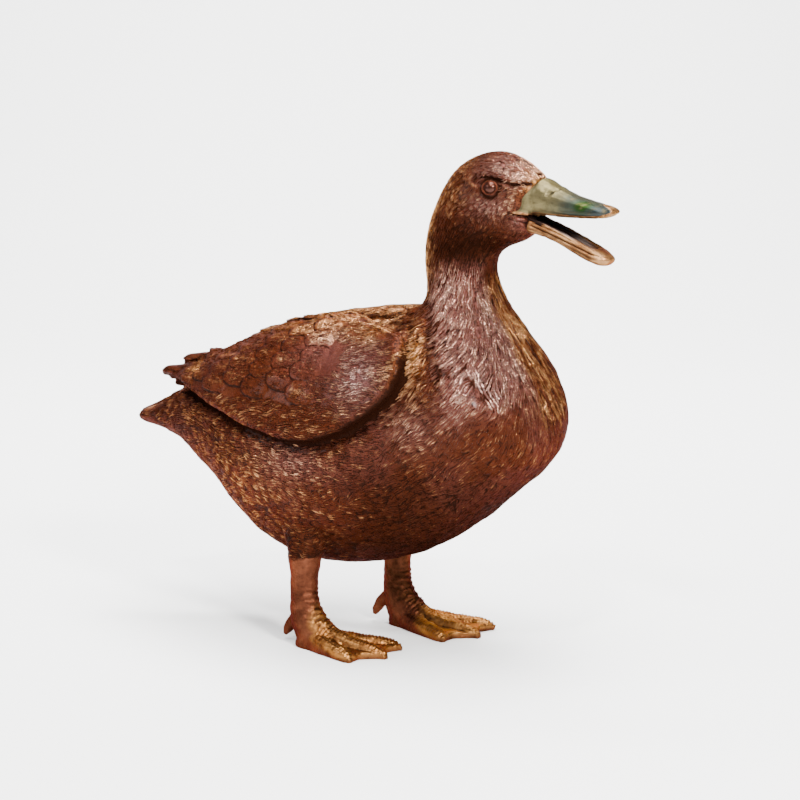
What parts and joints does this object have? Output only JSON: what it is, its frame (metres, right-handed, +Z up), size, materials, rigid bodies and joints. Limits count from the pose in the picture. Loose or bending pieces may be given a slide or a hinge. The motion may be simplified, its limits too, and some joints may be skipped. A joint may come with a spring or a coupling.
{
  "type": "bronze duck statue",
  "caption": "Life-size cast bronze duck standing on webbed feet with its neck up and bill open, modelled plumage and folded wings.",
  "frame": {"origin": "centre of the bounding box's base, on the ground under the soles", "axes": "+X towards the bill, -Y the duck's right side, +Z up"},
  "size_m": [0.452, 0.193, 0.3855],
  "materials": {
    "brown_patina": "reddish-brown patinated bronze, waxed, with brighter rubbed crests and dark hollows",
    "golden_bronze": "bronze rubbed bright gold, brown in the hollows",
    "copper_bill": "coppery bronze with lengthwise ridges",
    "pale_verdigris": "smooth pale greenish-silver patina, yellowish at the base",
    "eye_bronze": "smooth polished brown bronze"
  },
  "bodies": {
    "root": {"trunk": "brown_patina", "neck": "brown_patina", "head": "brown_patina", "tail": "brown_patina", "wing_left": "brown_patina", "wing_right": "brown_patina", "leg_left": "brown_patina", "leg_right": "brown_patina", "foot_left": "golden_bronze", "foot_right": "golden_bronze", "bill_upper": "pale_verdigris", "bill_lower": "copper_bill", "eye_left": "eye_bronze", "eye_right": "eye_bronze"}
  },
  "joints": []
}
